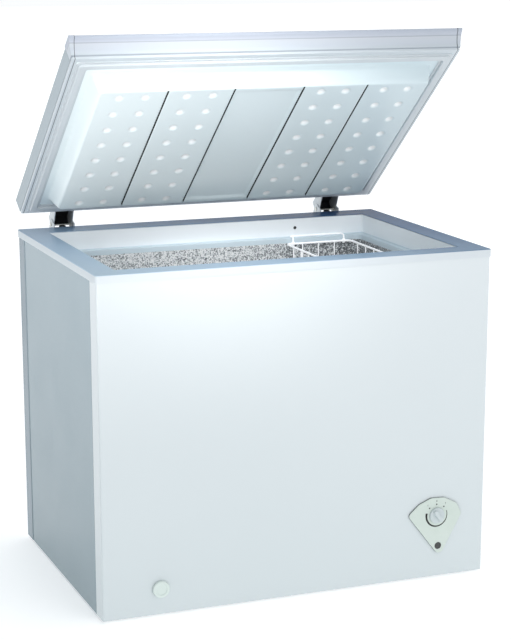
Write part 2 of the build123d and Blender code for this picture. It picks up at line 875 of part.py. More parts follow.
# ======== Rear grille ========
grille_face = rear_y + 1.2
slot_length = 50.0
slot_rise = 12.0
gland_x = grille_left + 24
gland_z = grille_bottom + 24
screw_places = [
    (x, z)
    for x in (grille_left + 5, (grille_left + grille_right) / 2, grille_right - 5)
    for z in (grille_bottom + 5, grille_top - 5)
]
with BuildPart() as rear_grille:
    block((grille_left, rear_y, grille_bottom), (grille_right, grille_face, grille_top))
    slot_middle = ((grille_left + grille_right) / 2, grille_face, (grille_bottom + grille_top) / 2 + 14)
    with BuildSketch(Plane(origin=slot_middle, x_dir=(-1, 0, 0), z_dir=(0, 1, 0))):
        with GridLocations(slot_length + 12, slot_rise, 3, 11):
            SlotOverall(slot_length, 5)
    extrude(amount=rear_y - grille_face, mode=Mode.SUBTRACT)
    for x, z in screw_places:
        rod((x, rear_y - 1, z), (x, rear_y + 2, z), 2.2, mode=Mode.SUBTRACT)
    rod((gland_x, rear_y - 1, gland_z), (gland_x, rear_y + 2, gland_z), 8, mode=Mode.SUBTRACT)
save(rear_grille, "rear_grille")

with BuildPart() as grille_screws:
    for x, z in screw_places:
        rod((x, grille_face, z), (x, grille_face + 2.2, z), 4)
        rod((x, rear_y - 8, z), (x, grille_face, z), 2)
    fillet(grille_screws.edges().filter_by(GeomType.CIRCLE).group_by(Axis.Y)[-1], 1.2)
save(grille_screws, "grille_screws")

# Rubber bush for the mains lead.
gland_neck = 7.9
gland_flange = 11.0
gland_bore = 4.0
with BuildPart() as cord_gland:
    for start, length, radius in ((-4, 5.3, gland_neck), (1.3, 4, gland_flange)):
        with BuildSketch(Plane(origin=(gland_x, rear_y + start, gland_z), z_dir=(0, 1, 0))):
            Circle(radius)
            Circle(gland_bore, mode=Mode.SUBTRACT)
        extrude(amount=length)
save(cord_gland, "cord_gland")

# ======== Lid, drawn closed and raised by on_lid ========
trim_back = lid_front + 14.0
cap_length = 12.0
cap_proud = 0.6
trim_wall = 2.5

frame_rib = 12.0
with BuildPart() as lid_lower_frame:
    with BuildSketch(on_lid(Plane.XY.offset(lid_bottom))):
        with Locations((0, (lid_front + lid_rear) / 2)):
            RectangleRounded(2 * lid_half_bottom, lid_rear - lid_front, 4)
            RectangleRounded(
                2 * gasket_outer + 1, lid_rear - lid_front - 2 * frame_rib, 3, mode=Mode.SUBTRACT
            )
    extrude(amount=lid_frame_height)
    fillet(lid_lower_frame.faces().sort_by(lid_up)[0].outer_wire().edges(), 1.4)
save(lid_lower_frame, "lid_lower_frame")


def lid_section(z_low, inset):
    """Adds the lid's sloping-sided cross section to the sketch that is being made."""
    low = lid_half_bottom + 0.9 - inset
    high = lid_half_top - inset
    top = lid_top - inset
    with BuildLine() as sides:
        FilletPolyline(
            (-low, z_low), (-high, top), (high, top), (low, z_low), radius=max(4 - inset, 1)
        )
        Line((low, z_low), (-low, z_low))
    make_face(sides.edges())


# Folded steel top: the top sheet with its two sides and back.
skirt_z = lid_bottom + lid_frame_height
with BuildPart() as lid_top_panel:
    with BuildSketch(on_lid(Plane.XZ.offset(-trim_back))):
        lid_section(skirt_z, 0)
    extrude(amount=trim_back - lid_rear)
    with BuildSketch(on_lid(Plane.XZ.offset(-trim_back))):
        lid_section(skirt_z, sheet)
    extrude(amount=trim_back - lid_rear + sheet, mode=Mode.SUBTRACT)
save(lid_top_panel, "lid_top_panel")

# Front trim: a hollow moulded rail that leans out to a full-width grip.
trim_points = [
    (0.5, skirt_z - lid_bottom),
    (3.0, 9.5),
    (4.5, 14),
    (12.5, 25),
    (16.5, 30),
    (25.0, 35.5),
    (28.0, 39.5),
    (26.0, lid_thickness),
]


def trim_section(grow):
    """Adds the front trim's outline, grown outwards, to the sketch that is being made."""
    points = [(lid_front - out - grow, lid_bottom + up) for out, up in trim_points]
    points[-1] = (points[-1][0], lid_top + grow / 2)
    with BuildLine() as outline:
        Spline(*points[1:6])
        Polyline(*points[:2])
        Polyline(*points[5:], (trim_back, lid_top + grow / 2), (trim_back, skirt_z), points[0])
    make_face(outline.edges())


with BuildPart() as lid_front_trim:
    with BuildSketch(on_lid(Plane.YZ.offset(-lid_half_top + cap_length))):
        trim_section(0)
    extrude(amount=2 * (lid_half_top - cap_length))
    with BuildSketch(on_lid(Plane.YZ.offset(-lid_half_top + cap_length))):
        with BuildLine():
            cavity = [(lid_front - out + trim_wall, lid_bottom + up) for out, up in trim_points[1:6]]
            Polyline(
                *cavity,
                (cavity[-1][0], lid_top - trim_wall),
                (trim_back + 1, lid_top - trim_wall),
                (trim_back + 1, cavity[0][1]),
                close=True,
            )
        make_face()
    extrude(amount=2 * (lid_half_top - cap_length), mode=Mode.SUBTRACT)
save(lid_front_trim, "lid_front_trim")

with BuildPart() as lid_corner_caps:
    for start in (-lid_half_top - cap_proud, lid_half_top - cap_length + 0.1):
        with BuildSketch(on_lid(Plane.YZ.offset(start))):
            trim_section(cap_proud)
        extrude(amount=cap_length + cap_proud - 0.1)
    for side in (-1, 1):
        with BuildSketch(on_lid(Plane.XZ.offset(-lid_rear))):
            with BuildLine():
                Polyline(
                    (side * (lid_half_bottom + 1.2), skirt_z - 1),
                    (side * (lid_half_top + cap_proud), lid_top + 1),
                    (side * (lid_half_top + 20), lid_top + 1),
                    (side * (lid_half_top + 20), skirt_z - 1),
                    (side * (lid_half_bottom + 1.2), skirt_z - 1),
                )
            make_face()
        extrude(amount=lid_rear - lid_front + 60, mode=Mode.SUBTRACT)
save(lid_corner_caps, "lid_corner_caps")

# Inner panel: a flange and a deep plateau with a recessed middle bay, four grooves and rows of dimples.
panel_wall = 3.0
flange_thickness = 2.5
face_z = lid_bottom - plateau_depth
bay_edges = (84.0, 242.0)
dimple_columns = (132.0, 194.0, 291.0, 352.0)
dimple_rows = 8
dimple_pitch = 62.5
dimple_middle = (plateau_front + plateau_rear) / 2
dimple_radius = 16.0
dimple_depth = 2.4
groove_depth = 2.4
recess_depth = 5.0


def plateau(inset, deep, mode):
    """The plateau's sloping block, shrunk by a wall, in the part that is being built."""
    with BuildSketch(on_lid(Plane.XY.offset(lid_bottom + flange_thickness))) as base:
        with Locations((0, (slope_front + slope_rear) / 2)):
            RectangleRounded(2 * slope_half - 2 * inset, slope_rear - slope_front - 2 * inset, 22)
    with BuildSketch(on_lid(Plane.XY.offset(face_z + deep))) as face:
        with Locations((0, (plateau_front + plateau_rear) / 2)):
            RectangleRounded(2 * plateau_half - 2 * inset, plateau_rear - plateau_front - 2 * inset, 14)
    loft([base.sketch, face.sketch], mode=mode)


with BuildPart() as lid_inner_panel:
    with BuildSketch(on_lid(Plane.XY.offset(lid_bottom))):
        with Locations((0, (lid_front + lid_rear) / 2)):
            RectangleRounded(2 * gasket_outer + 0.8, lid_rear - lid_front - 24.2, 3)
    extrude(amount=flange_thickness)
    plateau(0, 0, Mode.ADD)
    plateau(panel_wall, panel_wall, Mode.SUBTRACT)
    with BuildSketch(on_lid(Plane.XY.offset(face_z + panel_wall - 0.5))):
        with Locations((0, (plateau_front + plateau_rear) / 2)):
            Rectangle(2 * bay_edges[0] + 8, plateau_rear - plateau_front - 2 * panel_wall)
    extrude(amount=recess_depth)
    with BuildSketch(on_lid(Plane.XY.offset(face_z))):
        with Locations((0, (plateau_front + plateau_rear) / 2)):
            Rectangle(2 * bay_edges[0], plateau_rear - plateau_front - 24)
    extrude(amount=recess_depth, taper=65, mode=Mode.SUBTRACT)
    for groove_x in (-bay_edges[1], bay_edges[1]):
        with BuildSketch(on_lid(Plane.XY.offset(face_z))):
            with Locations((groove_x, (plateau_front + plateau_rear) / 2)):
                Rectangle(2.4, plateau_rear - plateau_front - 4)
        extrude(amount=groove_depth, mode=Mode.SUBTRACT)
    dimple_lift = dimple_radius - dimple_depth
    dimple_places = [
        (side * x, dimple_middle + (row - (dimple_rows - 1) / 2) * dimple_pitch)
        for side in (-1, 1)
        for x in dimple_columns
        for row in range(dimple_rows)
    ]
    with Locations(on_lid(Plane.XY.offset(face_z - dimple_lift))):
        with Locations(*dimple_places):
            Sphere(dimple_radius, mode=Mode.SUBTRACT)
save(lid_inner_panel, "lid_inner_panel")

with BuildPart() as lid_gasket:
    for low, high, inset, width in ((-2.0, 0.0, 0, gasket_width), (-7.7, -2.0, 5, 15)):
        with BuildSketch(on_lid(Plane.XY.offset(lid_bottom + low))):
            with Locations((0, (lid_front + lid_rear) / 2)):
                RectangleRounded(2 * (gasket_outer - inset), lid_rear - lid_front - 25 - 2 * inset, 10)
                RectangleRounded(
                    2 * (gasket_outer - inset - width),
                    lid_rear - lid_front - 25 - 2 * (inset + width),
                    6,
                    mode=Mode.SUBTRACT,
                )
        extrude(amount=high - low)
    fillet(lid_gasket.faces().sort_by(lid_up)[0].edges(), 2.4)
save(lid_gasket, "lid_gasket")

with BuildPart() as lid_foam:
    with BuildSketch(on_lid(Plane.XZ.offset(-trim_back - 0.1))):
        lid_section(skirt_z + 0.1, sheet + 0.1)
    extrude(amount=trim_back - lid_rear + sheet + 0.3)
    with BuildSketch(on_lid(Plane.XY.offset(lid_bottom + flange_thickness))):
        with Locations((0, (lid_front + lid_rear) / 2)):
            Rectangle(2 * gasket_outer, lid_rear - lid_front - 28.4)
    extrude(amount=lid_frame_height - flange_thickness + 0.1)
    plateau(panel_wall + 0.2, panel_wall + recess_depth + 0.2, Mode.ADD)
save(lid_foam, "lid_foam")

# ======== Hinges: a channel on the cabinet's back, a bracket on the lid, a plunger and a spring ========
channel_sheet = 2.0
channel_back = pivot_y + 18
web_top = pivot_z - 18
seat_z = channel_bottom + 20
flange_half = 42.0
flange_top = rim_height - skirt_height - 6
plunger_y = pivot_y - 8.5
plunger_top = pivot_z - follower_radius - follower_gap
plunger_head = 8.0
spring_radius = 6.4
spring_wire = 1.2
spring_turns = 13
channel_screw_z = (channel_bottom + 14, flange_top - 14)
bracket_screw_z = (lid_bottom + 12, lid_top - 10)


def hinge_channel(middle):
    with BuildPart() as channel:
        for side in (-1, 1):
            wall = middle + side * channel_half - (channel_sheet if side > 0 else 0)
            with BuildSketch(Plane.YZ.offset(wall)):
                with BuildLine():
                    Polyline(
                        (rear_y, channel_bottom),
                        (channel_back, channel_bottom),
                        (channel_back, pivot_z - 6),
                        (pivot_y, pivot_z + 12),
                        (rear_y + 3, pivot_z + 4),
                        (rear_y + 3, flange_top),
                        (rear_y, flange_top),
                        (rear_y, channel_bottom),
                    )
                make_face()
                with Locations((pivot_y, pivot_z)):
                    Circle(14)
                    Circle(rivet_radius + running_gap, mode=Mode.SUBTRACT)
            extrude(amount=channel_sheet)
        block(
            (middle - channel_half, channel_back - channel_sheet, channel_bottom),
            (middle + channel_half, channel_back, web_top),
        )
        block(
            (middle - channel_half, rear_y + 2, seat_z - channel_sheet),
            (middle + channel_half, channel_back, seat_z),
        )
        rod((middle, plunger_y, seat_z - 4), (middle, plunger_y, seat_z + 1), 4.4, mode=Mode.SUBTRACT)
        for side in (-1, 1):
            edges = sorted((middle + side * (channel_half - 1), middle + side * flange_half))
            block((edges[0], rear_y, channel_bottom), (edges[1], rear_y + channel_sheet, flange_top))
            for z in channel_screw_z:
                x = middle + side * (channel_half + 8)
                rod((x, rear_y - 1, z), (x, rear_y + 4, z), 2.3, mode=Mode.SUBTRACT)
    return channel


def hinge_bracket(middle):
    plate_y = lid_rear + 0.2
    with BuildPart() as bracket:
        for side in (-1, 1):
            ear = middle + side * ear_half - (ear_sheet if side > 0 else 0)
            with BuildSketch(on_lid(Plane.YZ.offset(ear))):
                with BuildLine():
                    Polyline(
                        (plate_y, lid_bottom + 4),
                        (plate_y, pivot_z + bracket_rise),
                        (pivot_y + 14, pivot_z + bracket_rise),
                        (pivot_y + 14, pivot_z + 4),
                        (pivot_y + 5, pivot_z - 10.6),
                        (pivot_y - 5, pivot_z - 10.6),
                        (plate_y, lid_bottom + 4),
                    )
                make_face()
                with Locations((pivot_y, pivot_z)):
                    Circle(12)
                    Circle(rivet_radius + running_gap, mode=Mode.SUBTRACT)
            extrude(amount=ear_sheet)
        with BuildSketch(on_lid(Plane.XY.offset(pivot_z + bracket_rise))):
            with Locations((middle, (plate_y + pivot_y + 14) / 2)):
                Rectangle(2 * ear_half, pivot_y + 14 - plate_y)
        extrude(amount=-ear_sheet)
        with BuildSketch(on_lid(Plane.XZ.offset(-pivot_y - 14))):
            with Locations((middle, pivot_z + (bracket_rise + 4) / 2)):
                Rectangle(2 * ear_half, bracket_rise - 4)
        extrude(amount=ear_sheet)
        with BuildSketch(on_lid(Plane.XZ.offset(-plate_y))):
            with Locations((middle, (lid_bottom + lid_top) / 2)):
                RectangleRounded(2 * 40, lid_thickness - 8, 3)
            for screw_z in bracket_screw_z:
                with Locations((middle - 33, screw_z), (middle + 33, screw_z)):
                    Circle(2.3, mode=Mode.SUBTRACT)
        extrude(amount=-ear_sheet)
    return bracket


def hinge_plunger(middle):
    with BuildPart() as plunger:
        rod((middle, plunger_y, plunger_top - plunger_head), (middle, plunger_y, plunger_top), 8.4)
        rod((middle, plunger_y, seat_z - 12), (middle, plunger_y, plunger_top - 4), 4)
        fillet(plunger.edges().filter_by(GeomType.CIRCLE).sort_by(Axis.Z)[-1], 1.5)
    return plunger


hinge_left_channel = hinge_channel(-hinge_x)
save(hinge_left_channel, "hinge_left_channel")
hinge_right_channel = hinge_channel(hinge_x)
save(hinge_right_channel, "hinge_right_channel")
hinge_left_bracket = hinge_bracket(-hinge_x)
save(hinge_left_bracket, "hinge_left_bracket")
hinge_right_bracket = hinge_bracket(hinge_x)
save(hinge_right_bracket, "hinge_right_bracket")
hinge_left_plunger = hinge_plunger(-hinge_x)
save(hinge_left_plunger, "hinge_left_plunger")
hinge_right_plunger = hinge_plunger(hinge_x)
save(hinge_right_plunger, "hinge_right_plunger")


def hinge_spring(middle):
    low = seat_z + spring_wire + 0.1
    high = plunger_top - plunger_head - spring_wire - 0.1
    with BuildPart() as spring:
        with BuildLine() as coil:
            Helix(
                pitch=(high - low) / spring_turns,
                height=high - low,
                radius=spring_radius,
                center=(middle, plunger_y, low),
            )
        with BuildSketch(Plane(origin=coil.line @ 0, z_dir=coil.line % 0)):
            Circle(spring_wire)
        sweep(path=coil.line, is_frenet=True)
    return spring


hinge_left_spring = hinge_spring(-hinge_x)
save(hinge_left_spring, "hinge_left_spring")
hinge_right_spring = hinge_spring(hinge_x)
save(hinge_right_spring, "hinge_right_spring")

# Shouldered rivets, two to a hinge, that the brackets turn on.
with BuildPart() as hinge_rivets:
    for middle in (-hinge_x, hinge_x):
        for side in (-1, 1):
            rod(
                (middle + side * (ear_half - ear_sheet - 1.6), pivot_y, pivot_z),
                (middle + side * (channel_half + 1.6), pivot_y, pivot_z),
                rivet_radius,
            )
            rod(
                (middle + side * (ear_half - ear_sheet - 1.8), pivot_y, pivot_z),
                (middle + side * (ear_half - ear_sheet - 0.2), pivot_y, pivot_z),
                4.5,
            )
            rod(
                (middle + side * channel_half, pivot_y, pivot_z),
                (middle + side * (channel_half + 1.8), pivot_y, pivot_z),
                5,
            )
save(hinge_rivets, "hinge_rivets")

# Cross pins of the brackets, which press the plungers down as the lid closes.
follower_y = pivot_y - follower_arm * cos(radians(open_angle))
follower_z = pivot_z - follower_arm * sin(radians(open_angle))
with BuildPart() as hinge_followers:
    for middle in (-hinge_x, hinge_x):
        with BuildSketch(on_lid(Plane.YZ.offset(middle - ear_half + ear_sheet))):
            with Locations((follower_y, follower_z)):
                Circle(follower_radius)
        extrude(amount=2 * (ear_half - ear_sheet))
save(hinge_followers, "hinge_followers")

with BuildPart() as hinge_channel_screws:
    for middle in (-hinge_x, hinge_x):
        for side in (-1, 1):
            for z in channel_screw_z:
                x = middle + side * (channel_half + 8)
                rod((x, rear_y + channel_sheet, z), (x, rear_y + channel_sheet + 2.4, z), 4)
                rod((x, rear_y - 12, z), (x, rear_y + channel_sheet, z), 2.1)
    fillet(hinge_channel_screws.edges().filter_by(GeomType.CIRCLE).group_by(Axis.Y)[-1], 1.3)
save(hinge_channel_screws, "hinge_channel_screws")

with BuildPart() as hinge_lid_screws:
    for middle in (-hinge_x, hinge_x):
        for z in bracket_screw_z:
            for x in (middle - 33, middle + 33):
                with BuildSketch(on_lid(Plane.XZ.offset(-lid_rear - 0.2 - ear_sheet))):
                    with Locations((x, z)):
                        Circle(4)
                extrude(amount=-2.4)
                with BuildSketch(on_lid(Plane.XZ.offset(-lid_rear - 0.2 - ear_sheet))):
                    with Locations((x, z)):
                        Circle(2.1)
                extrude(amount=14)
save(hinge_lid_screws, "hinge_lid_screws")

# ======== Basket and its two hanging bails ========
wire_steps_x = 4
wire_steps_y = 10
basket_bottom = basket_top - basket_height
basket_width = basket_right - basket_left
basket_length = basket_rear - basket_front
basket_middle = ((basket_left + basket_right) / 2, (basket_front + basket_rear) / 2)


def wire_loop(z, radius, corner):
    """A closed loop of wire round the basket, in the part that is being built."""
    with BuildSketch(Plane.XY.offset(z)) as plan:
        with Locations(basket_middle):
            RectangleRounded(basket_width, basket_length, corner)
    path = plan.sketch.wire()
    with BuildSketch(Plane(origin=path @ 0, z_dir=path % 0)) as section:
        Circle(radius)
    sweep(section.sketch, path=path)


with BuildPart() as wire_basket:
    wire_loop(basket_top, rim_wire, 14)
    wire_loop(basket_top - basket_height / 3, mesh_wire + 0.2, 14)
    wire_loop(basket_top - 2 * basket_height / 3, mesh_wire + 0.2, 14)
    for step in range(1, wire_steps_y):
        y = basket_front + step * basket_length / wire_steps_y
        pipe(
            [
                (basket_left, y, basket_top),
                (basket_left, y, basket_bottom),
                (basket_right, y, basket_bottom),
                (basket_right, y, basket_top),
            ],
            9,
            mesh_wire,
        )
    for step in range(1, wire_steps_x):
        x = basket_left + step * basket_width / wire_steps_x
        pipe(
            [
                (x, basket_front, basket_top),
                (x, basket_front, basket_bottom + 2),
                (x, basket_rear, basket_bottom + 2),
                (x, basket_rear, basket_top),
            ],
            9,
            mesh_wire,
        )
save(wire_basket, "wire_basket")

bail_left = basket_left + 18
bail_right = basket_right - 18
bail_z = ledge_z + bail_wire + 0.3
eye_inner = rim_wire + 0.06
eye_outer = eye_inner + 3.4


def bail(rim_y, wall_y):
    """A wire bail with an eye round the rim wire at each end, lying out over the ledge."""
    foot = basket_top + eye_inner + 1.7
    with BuildPart() as handle:
        pipe(
            [
                (bail_left, rim_y, foot),
                (bail_left, rim_y, bail_z),
                (bail_left, wall_y, bail_z),
                (bail_right, wall_y, bail_z),
                (bail_right, rim_y, bail_z),
                (bail_right, rim_y, foot),
            ],
            5,
            bail_wire,
        )
        for x in (bail_left, bail_right):
            with BuildSketch(Plane(origin=(x - 2, rim_y, basket_top), z_dir=(1, 0, 0))) as eye:
                Circle(eye_outer)
            extrude(eye.sketch, amount=4)
            rod((x - 3, rim_y, basket_top), (x + 3, rim_y, basket_top), eye_inner, mode=Mode.SUBTRACT)
    return handle


basket_bail_front = bail(basket_front, mouth_front + 6)
save(basket_bail_front, "basket_bail_front")
basket_bail_rear = bail(basket_rear, mouth_rear - 6)
save(basket_bail_rear, "basket_bail_rear")
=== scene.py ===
import json
import math

import bmesh
import bpy
from mathutils import Matrix, Vector


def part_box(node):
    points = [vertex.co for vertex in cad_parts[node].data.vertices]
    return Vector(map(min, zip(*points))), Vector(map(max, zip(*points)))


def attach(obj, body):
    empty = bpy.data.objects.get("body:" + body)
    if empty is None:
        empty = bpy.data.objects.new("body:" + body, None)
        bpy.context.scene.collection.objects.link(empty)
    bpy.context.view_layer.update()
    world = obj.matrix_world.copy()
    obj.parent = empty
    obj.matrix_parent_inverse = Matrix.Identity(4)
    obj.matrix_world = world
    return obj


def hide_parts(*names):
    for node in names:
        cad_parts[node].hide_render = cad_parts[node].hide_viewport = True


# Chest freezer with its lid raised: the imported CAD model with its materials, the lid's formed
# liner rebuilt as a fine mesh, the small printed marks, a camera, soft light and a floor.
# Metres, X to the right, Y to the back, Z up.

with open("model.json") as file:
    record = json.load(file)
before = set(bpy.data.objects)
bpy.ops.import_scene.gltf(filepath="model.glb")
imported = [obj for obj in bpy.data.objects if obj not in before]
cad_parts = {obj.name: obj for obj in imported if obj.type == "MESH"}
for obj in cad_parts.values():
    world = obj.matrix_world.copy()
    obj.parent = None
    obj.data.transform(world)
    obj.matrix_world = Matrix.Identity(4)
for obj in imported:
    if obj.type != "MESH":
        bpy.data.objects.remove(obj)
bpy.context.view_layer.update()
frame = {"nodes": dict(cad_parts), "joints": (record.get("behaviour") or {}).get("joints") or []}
nodes = frame["nodes"]
MM = 0.001

# ======== Measures: read from the frame, with a few offsets the CAD is drawn to ========
hinge = next(j for j in frame["joints"] if j["name"] == "lid_hinge")
pivot = Vector(hinge["pos_m"])
open_angle = -math.radians(hinge["range_deg"][0])
raise_lid = (
    Matrix.Translation(pivot) @ Matrix.Rotation(-open_angle, 4, "X") @ Matrix.Translation(-pivot)
)
front_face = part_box("front_panel")[0].y
rear_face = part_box("rear_panel")[1].y
lid_up = raise_lid.to_3x3() @ Vector((0, 0, 1))
lid_forward = raise_lid.to_3x3() @ Vector((0, -1, 0))
pivot_to_lid = 5.5 * MM
lid_foot = Vector((0, pivot.y, pivot.z)) + lid_up * pivot_to_lid
lid_height = 43 * MM
hinge_low, hinge_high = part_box("hinge_right_channel")
hinge_middle = hinge_low.lerp(hinge_high, 0.5).x
pocket_half = 21.9 * MM
bezel_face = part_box("control_bezel")[0].y
rim_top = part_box("top_frame")[1].z
ledge_top = 740 * MM
cap_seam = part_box("lid_front_trim")[1].x
cabinet_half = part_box("front_panel")[1].x
lid_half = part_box("lid_top_panel")[1].x

# ======== Materials ========
# The sockets of a colour Mix node: its two colours and its result.
mix_a, mix_b, mix_out = 6, 7, 2


class Recipe:
    """A node material built up by a few calls, its textures placed by object coordinates."""

    def __init__(self, name, roughness=0.4, metallic=0.0, coat=0.0, specular=0.5):
        self.material = bpy.data.materials.new(name)
        self.material.use_nodes = True
        self.tree = self.material.node_tree
        self.shader = self.tree.nodes["Principled BSDF"]
        self.shader.inputs["Roughness"].default_value = roughness
        self.shader.inputs["Metallic"].default_value = metallic
        self.shader.inputs["Coat Weight"].default_value = coat
        self.shader.inputs["Coat Roughness"].default_value = 0.08
        self.shader.inputs["Specular IOR Level"].default_value = specular
        self.place = self.node("ShaderNodeTexCoord").outputs["Object"]
        self.normal = None

    def node(self, kind, operation=None):
        """A new node of a kind, set to an operation when it has one."""
        made = self.tree.nodes.new(kind)
        if operation:
            made.operation = operation
        return made

    def link(self, source, target):
        self.tree.links.new(source, target)

    def noise(self, scale, detail=2.0, stretch=None, rough=0.5):
        """Cloudy noise with so many features to the metre."""
        texture = self.node("ShaderNodeTexNoise")
        texture.inputs["Scale"].default_value = scale
        texture.inputs["Detail"].default_value = detail
        texture.inputs["Roughness"].default_value = rough
        source = self.place
        if stretch:
            mapping = self.node("ShaderNodeMapping")
            mapping.inputs["Scale"].default_value = stretch
            self.link(source, mapping.inputs["Vector"])
            source = mapping.outputs["Vector"]
        self.link(source, texture.inputs["Vector"])
        return texture.outputs["Fac"]

    def cells(self, scale, smooth):
        """Rounded cells, for pebbles, pores and crystals."""
        texture = self.node("ShaderNodeTexVoronoi")
        texture.feature = "SMOOTH_F1"
        texture.inputs["Scale"].default_value = scale
        texture.inputs["Smoothness"].default_value = smooth
        self.link(self.place, texture.inputs["Vector"])
        return texture.outputs["Distance"]

    def axis(self, letter):
        """One coordinate of the place."""
        split = self.node("ShaderNodeSeparateXYZ")
        self.link(self.place, split.inputs["Vector"])
        return split.outputs[letter]

    def size(self, value):
        """The value without its sign."""
        positive = self.node("ShaderNodeMath", "ABSOLUTE")
        self.link(value, positive.inputs[0])
        return positive.outputs["Value"]

    def distance(self, value, place):
        """How far a value is from a place, on either side."""
        offset = self.node("ShaderNodeMath", "SUBTRACT")
        offset.inputs[1].default_value = place
        self.link(value, offset.inputs[0])
        return self.size(offset.outputs["Value"])

    def along(self, direction, origin):
        """How far a place lies from the origin along a direction."""
        offset = self.node("ShaderNodeVectorMath", "SUBTRACT")
        offset.inputs[1].default_value = origin
        self.link(self.place, offset.inputs[0])
        dot = self.node("ShaderNodeVectorMath", "DOT_PRODUCT")
        dot.inputs[1].default_value = direction
        self.link(offset.outputs["Vector"], dot.inputs[0])
        return dot.outputs["Value"]

    def spread(self, factor, from_low, from_high, to_low=0.0, to_high=1.0):
        """The factor carried over from one range to another."""
        span = self.node("ShaderNodeMapRange")
        for socket, value in (
            ("From Min", from_low),
            ("From Max", from_high),
            ("To Min", to_low),
            ("To Max", to_high),
        ):
            span.inputs[socket].default_value = value
        self.link(factor, span.inputs["Value"])
        return span.outputs["Result"]

    def mix_factors(self, first, second, share):
        """The first factor with a share of the second in it."""
        mix = self.node("ShaderNodeMix")
        mix.inputs["Factor"].default_value = share
        self.link(first, mix.inputs["A"])
        self.link(second, mix.inputs["B"])
        return mix.outputs["Result"]

    def ramp(self, factor, *stops):
        """Colours along the factor, each stop a position and a colour."""
        ramp = self.node("ShaderNodeValToRGB")
        elements = ramp.color_ramp.elements
        while len(elements) < len(stops):
            elements.new(0.5)
        for element, (position, colour) in zip(elements, stops):
            element.position = position
            element.color = (*colour, 1)
        self.link(factor, ramp.inputs["Fac"])
        return ramp.outputs["Color"]

    def colours(self, factor, *stops):
        self.link(self.ramp(factor, *stops), self.shader.inputs["Base Color"])

    def two_tone(self, mask, colour, other):
        """The plain colour where the mask is 0 and the other, a socket, where it is 1."""
        mix = self.node("ShaderNodeMix")
        mix.data_type = "RGBA"
        mix.inputs[mix_a].default_value = (*colour, 1)
        self.link(mask, mix.inputs["Factor"])
        self.link(other, mix.inputs[mix_b])
        self.link(mix.outputs[mix_out], self.shader.inputs["Base Color"])

    def vary_roughness(self, factor, low, high):
        self.link(self.spread(factor, 0.3, 0.7, low, high), self.shader.inputs["Roughness"])

    def bump(self, factor, depth, strength):
        """Fine relief, added to what is already there."""
        bump = self.node("ShaderNodeBump")
        bump.inputs["Strength"].default_value = strength
        bump.inputs["Distance"].default_value = depth
        self.link(factor, bump.inputs["Height"])
        if self.normal:
            self.link(self.normal, bump.inputs["Normal"])
        self.normal = bump.outputs["Normal"]
        self.link(self.normal, self.shader.inputs["Normal"])


enamel_gloss = 0.22
drawn_lines = (1, 1, 30)


def tint(colour, change):
    """A colour made brighter or darker."""
    return tuple(min(1.0, max(0.0, c * change)) for c in colour)


def orange_peel(recipe):
    """The surface of sprayed and baked paint."""
    recipe.vary_roughness(recipe.noise(9.0, 3.0), enamel_gloss * 0.85, enamel_gloss * 1.2)
    recipe.bump(recipe.noise(420.0, 1.0), 0.00012, 0.35)
    return recipe.material


def enamel(name, colour, low):
    """White enamel whose tone darkens slowly down the sheet to the low colour at the floor: painted
    shade.
    """
    recipe = Recipe(name, enamel_gloss)
    # Painted shade: the colour darkens from the given colour to the low colour towards the floor,
    # with a little random tone.
    rise = recipe.spread(recipe.axis("Z"), 0.0, 0.78)
    painted_shading = recipe.mix_factors(rise, recipe.noise(3.0, 2.0), 0.12)
    recipe.colours(painted_shading, (0.05, low), (0.95, colour))
    return orange_peel(recipe)


def sided(name, colour, shaded_flank, edge):
    """Enamel on a folded sheet, with painted shade on its two flanks beyond an edge: a deeper tone
    there.
    """
    recipe = Recipe(name, enamel_gloss)
    broad = recipe.ramp(recipe.noise(3.0, 2.0), (0.3, tint(colour, 0.97)), (0.7, colour))
    # Painted shade: beyond the edge, on the two flanks, the colour turns to the deeper tone.
    on_face = recipe.spread(recipe.size(recipe.axis("X")), edge, edge + 0.3 * MM, 1.0, 0.0)
    recipe.two_tone(on_face, shaded_flank, broad)
    return orange_peel(recipe)


def moulded(name, colour, roughness=0.3, coat=0.0, grain=900.0, depth=0.00004):
    """Moulded plastic: fine grain, faint flow marks and a little tone change."""
    recipe = Recipe(name, roughness, coat=coat)
    recipe.colours(recipe.noise(14.0, 3.0), (0.3, tint(colour, 0.97)), (0.7, colour))
    recipe.vary_roughness(recipe.noise(40.0, 3.0), roughness * 0.94, roughness * 1.06)
    recipe.bump(recipe.noise(grain, 2.0), depth, 0.25)
    return recipe.material


def rim_plastic(name):
    """Frame moulding: white skirt, and a top painted steel-blue as painted reflection and painted
    shade of the lid above, deepening towards the far corner.
    """
    recipe = Recipe(name, 0.2, specular=0.012)
    # Painted reflection and painted shade: the top face is steel-blue, deepening to near black
    # towards the back right; the skirt below stays white.
    top = recipe.spread(recipe.axis("Z"), rim_top - 1.8 * MM, rim_top - 0.8 * MM)
    back = recipe.spread(recipe.axis("Y"), -0.35, 0.31)
    right = recipe.spread(recipe.axis("X"), -0.47, 0.47)
    flow = recipe.mix_factors(recipe.mix_factors(right, back, 0.42), recipe.noise(6.0, 3.0), 0.08)
    ramp = recipe.ramp(
        flow,
        (0.0, (0.56, 0.68, 0.78)),
        (0.3, (0.42, 0.54, 0.67)),
        (0.55, (0.17, 0.27, 0.40)),
        (0.75, (0.07, 0.14, 0.26)),
        (1.0, (0.02, 0.05, 0.14)),
    )
    recipe.two_tone(top, (0.70, 0.74, 0.77), ramp)
    recipe.vary_roughness(recipe.noise(30.0, 2.0), 0.16, 0.22)
    recipe.bump(recipe.noise(240.0, 2.0), 0.00003, 0.2)
    return recipe.material


